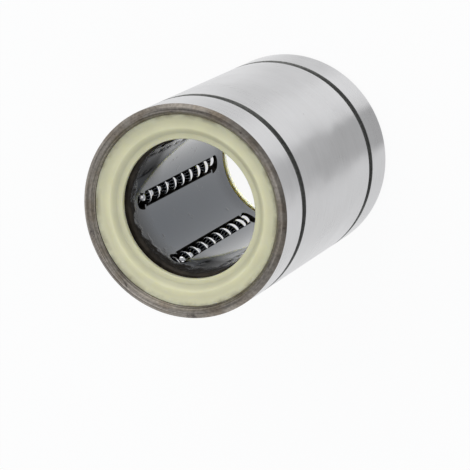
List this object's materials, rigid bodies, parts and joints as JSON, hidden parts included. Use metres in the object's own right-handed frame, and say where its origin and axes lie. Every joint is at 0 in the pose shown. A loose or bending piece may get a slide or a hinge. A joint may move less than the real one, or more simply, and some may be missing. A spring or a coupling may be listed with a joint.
{
  "type": "linear ball bearing",
  "caption": "Closed linear ball bearing for a round shaft: steel sleeve with retaining-ring grooves, ball retainer with recirculating ball circuits and dished plastic end rings.",
  "frame": {"origin": "centre of the lower end face, on the bearing's axis", "axes": "+Z along the shaft's axis, up; +X through the loaded row of balls of the first circuit"},
  "size_m": [0.032, 0.032, 0.045],
  "materials": {
    "ground_steel": "ground, satin, with dark unground end faces and grooves",
    "retainer_steel": "smooth rolled sheet, darkened and oiled",
    "ball_steel": "polished",
    "ring_plastic": "moulded, slightly glossy, cream"
  },
  "bodies": {
    "sleeve_and_retainer": {"outer_sleeve": "ground_steel", "ball_retainer": "retainer_steel", "bottom_end_ring": "ring_plastic", "top_end_ring": "ring_plastic"},
    "loaded_balls_1": {"loaded_balls_1": "ball_steel"},
    "return_balls_1": {"return_balls_1": "ball_steel"},
    "top_turn_balls_1": {"top_turn_balls_1": "ball_steel"},
    "bottom_turn_balls_1": {"bottom_turn_balls_1": "ball_steel"},
    "loaded_balls_2": {"loaded_balls_2": "ball_steel"},
    "return_balls_2": {"return_balls_2": "ball_steel"},
    "top_turn_balls_2": {"top_turn_balls_2": "ball_steel"},
    "bottom_turn_balls_2": {"bottom_turn_balls_2": "ball_steel"},
    "loaded_balls_3": {"loaded_balls_3": "ball_steel"},
    "return_balls_3": {"return_balls_3": "ball_steel"},
    "top_turn_balls_3": {"top_turn_balls_3": "ball_steel"},
    "bottom_turn_balls_3": {"bottom_turn_balls_3": "ball_steel"},
    "loaded_balls_4": {"loaded_balls_4": "ball_steel"},
    "return_balls_4": {"return_balls_4": "ball_steel"},
    "top_turn_balls_4": {"top_turn_balls_4": "ball_steel"},
    "bottom_turn_balls_4": {"bottom_turn_balls_4": "ball_steel"},
    "loaded_balls_5": {"loaded_balls_5": "ball_steel"},
    "return_balls_5": {"return_balls_5": "ball_steel"},
    "top_turn_balls_5": {"top_turn_balls_5": "ball_steel"},
    "bottom_turn_balls_5": {"bottom_turn_balls_5": "ball_steel"},
    "loaded_balls_6": {"loaded_balls_6": "ball_steel"},
    "return_balls_6": {"return_balls_6": "ball_steel"},
    "top_turn_balls_6": {"top_turn_balls_6": "ball_steel"},
    "bottom_turn_balls_6": {"bottom_turn_balls_6": "ball_steel"}
  },
  "joints": [
    {"name": "loaded_run_1", "type": "slide", "parent": "sleeve_and_retainer", "child": "loaded_balls_1", "axis": [0, 0, 1], "range_m": [-0.0016, 0.0016]},
    {"name": "return_run_1", "type": "slide", "parent": "sleeve_and_retainer", "child": "return_balls_1", "axis": [0, 0, 1], "range_m": [-0.0016, 0.0016]},
    {"name": "top_turn_1", "type": "hinge", "parent": "sleeve_and_retainer", "child": "top_turn_balls_1", "pos_m": [0.01104, -0.00315, 0.03538], "axis": [0.9562, -0.1646, -0.2419], "range_deg": [-28.66, 28.66]},
    {"name": "bottom_turn_1", "type": "hinge", "parent": "sleeve_and_retainer", "child": "bottom_turn_balls_1", "pos_m": [0.01104, -0.00315, 0.00962], "axis": [0.9562, -0.1646, 0.2419], "range_deg": [-28.66, 28.66]},
    {"name": "loaded_run_2", "type": "slide", "parent": "sleeve_and_retainer", "child": "loaded_balls_2", "axis": [0, 0, 1], "range_m": [-0.0016, 0.0016]},
    {"name": "return_run_2", "type": "slide", "parent": "sleeve_and_retainer", "child": "return_balls_2", "axis": [0, 0, 1], "range_m": [-0.0016, 0.0016]},
    {"name": "top_turn_2", "type": "hinge", "parent": "sleeve_and_retainer", "child": "top_turn_balls_2", "pos_m": [0.00825, 0.00799, 0.03538], "axis": [0.6207, 0.7458, -0.2419], "range_deg": [-28.66, 28.66]},
    {"name": "bottom_turn_2", "type": "hinge", "parent": "sleeve_and_retainer", "child": "bottom_turn_balls_2", "pos_m": [0.00825, 0.00799, 0.00962], "axis": [0.6207, 0.7458, 0.2419], "range_deg": [-28.66, 28.66]},
    {"name": "loaded_run_3", "type": "slide", "parent": "sleeve_and_retainer", "child": "loaded_balls_3", "axis": [0, 0, 1], "range_m": [-0.0016, 0.0016]},
    {"name": "return_run_3", "type": "slide", "parent": "sleeve_and_retainer", "child": "return_balls_3", "axis": [0, 0, 1], "range_m": [-0.0016, 0.0016]},
    {"name": "top_turn_3", "type": "hinge", "parent": "sleeve_and_retainer", "child": "top_turn_balls_3", "pos_m": [-0.00279, 0.01114, 0.03538], "axis": [-0.3355, 0.9104, -0.2419], "range_deg": [-28.66, 28.66]},
    {"name": "bottom_turn_3", "type": "hinge", "parent": "sleeve_and_retainer", "child": "bottom_turn_balls_3", "pos_m": [-0.00279, 0.01114, 0.00962], "axis": [-0.3355, 0.9104, 0.2419], "range_deg": [-28.66, 28.66]},
    {"name": "loaded_run_4", "type": "slide", "parent": "sleeve_and_retainer", "child": "loaded_balls_4", "axis": [0, 0, 1], "range_m": [-0.0016, 0.0016]},
    {"name": "return_run_4", "type": "slide", "parent": "sleeve_and_retainer", "child": "return_balls_4", "axis": [0, 0, 1], "range_m": [-0.0016, 0.0016]},
    {"name": "top_turn_4", "type": "hinge", "parent": "sleeve_and_retainer", "child": "top_turn_balls_4", "pos_m": [-0.01104, 0.00315, 0.03538], "axis": [-0.9562, 0.1646, -0.2419], "range_deg": [-28.66, 28.66]},
    {"name": "bottom_turn_4", "type": "hinge", "parent": "sleeve_and_retainer", "child": "bottom_turn_balls_4", "pos_m": [-0.01104, 0.00315, 0.00962], "axis": [-0.9562, 0.1646, 0.2419], "range_deg": [-28.66, 28.66]},
    {"name": "loaded_run_5", "type": "slide", "parent": "sleeve_and_retainer", "child": "loaded_balls_5", "axis": [0, 0, 1], "range_m": [-0.0016, 0.0016]},
    {"name": "return_run_5", "type": "slide", "parent": "sleeve_and_retainer", "child": "return_balls_5", "axis": [0, 0, 1], "range_m": [-0.0016, 0.0016]},
    {"name": "top_turn_5", "type": "hinge", "parent": "sleeve_and_retainer", "child": "top_turn_balls_5", "pos_m": [-0.00825, -0.00799, 0.03538], "axis": [-0.6207, -0.7458, -0.2419], "range_deg": [-28.66, 28.66]},
    {"name": "bottom_turn_5", "type": "hinge", "parent": "sleeve_and_retainer", "child": "bottom_turn_balls_5", "pos_m": [-0.00825, -0.00799, 0.00962], "axis": [-0.6207, -0.7458, 0.2419], "range_deg": [-28.66, 28.66]},
    {"name": "loaded_run_6", "type": "slide", "parent": "sleeve_and_retainer", "child": "loaded_balls_6", "axis": [0, 0, 1], "range_m": [-0.0016, 0.0016]},
    {"name": "return_run_6", "type": "slide", "parent": "sleeve_and_retainer", "child": "return_balls_6", "axis": [0, 0, 1], "range_m": [-0.0016, 0.0016]},
    {"name": "top_turn_6", "type": "hinge", "parent": "sleeve_and_retainer", "child": "top_turn_balls_6", "pos_m": [0.00279, -0.01114, 0.03538], "axis": [0.3355, -0.9104, -0.2419], "range_deg": [-28.66, 28.66]},
    {"name": "bottom_turn_6", "type": "hinge", "parent": "sleeve_and_retainer", "child": "bottom_turn_balls_6", "pos_m": [0.00279, -0.01114, 0.00962], "axis": [0.3355, -0.9104, 0.2419], "range_deg": [-28.66, 28.66]}
  ],
  "couplings": [
    {"joint": "return_run_1", "follows": "loaded_run_1", "ratio": -1},
    {"joint": "top_turn_1", "follows": "loaded_run_1", "rad_per_m": 312.5},
    {"joint": "bottom_turn_1", "follows": "loaded_run_1", "rad_per_m": 312.5},
    {"joint": "return_run_2", "follows": "loaded_run_2", "ratio": -1},
    {"joint": "top_turn_2", "follows": "loaded_run_2", "rad_per_m": 312.5},
    {"joint": "bottom_turn_2", "follows": "loaded_run_2", "rad_per_m": 312.5},
    {"joint": "return_run_3", "follows": "loaded_run_3", "ratio": -1},
    {"joint": "top_turn_3", "follows": "loaded_run_3", "rad_per_m": 312.5},
    {"joint": "bottom_turn_3", "follows": "loaded_run_3", "rad_per_m": 312.5},
    {"joint": "return_run_4", "follows": "loaded_run_4", "ratio": -1},
    {"joint": "top_turn_4", "follows": "loaded_run_4", "rad_per_m": 312.5},
    {"joint": "bottom_turn_4", "follows": "loaded_run_4", "rad_per_m": 312.5},
    {"joint": "return_run_5", "follows": "loaded_run_5", "ratio": -1},
    {"joint": "top_turn_5", "follows": "loaded_run_5", "rad_per_m": 312.5},
    {"joint": "bottom_turn_5", "follows": "loaded_run_5", "rad_per_m": 312.5},
    {"joint": "return_run_6", "follows": "loaded_run_6", "ratio": -1},
    {"joint": "top_turn_6", "follows": "loaded_run_6", "rad_per_m": 312.5},
    {"joint": "bottom_turn_6", "follows": "loaded_run_6", "rad_per_m": 312.5}
  ]
}
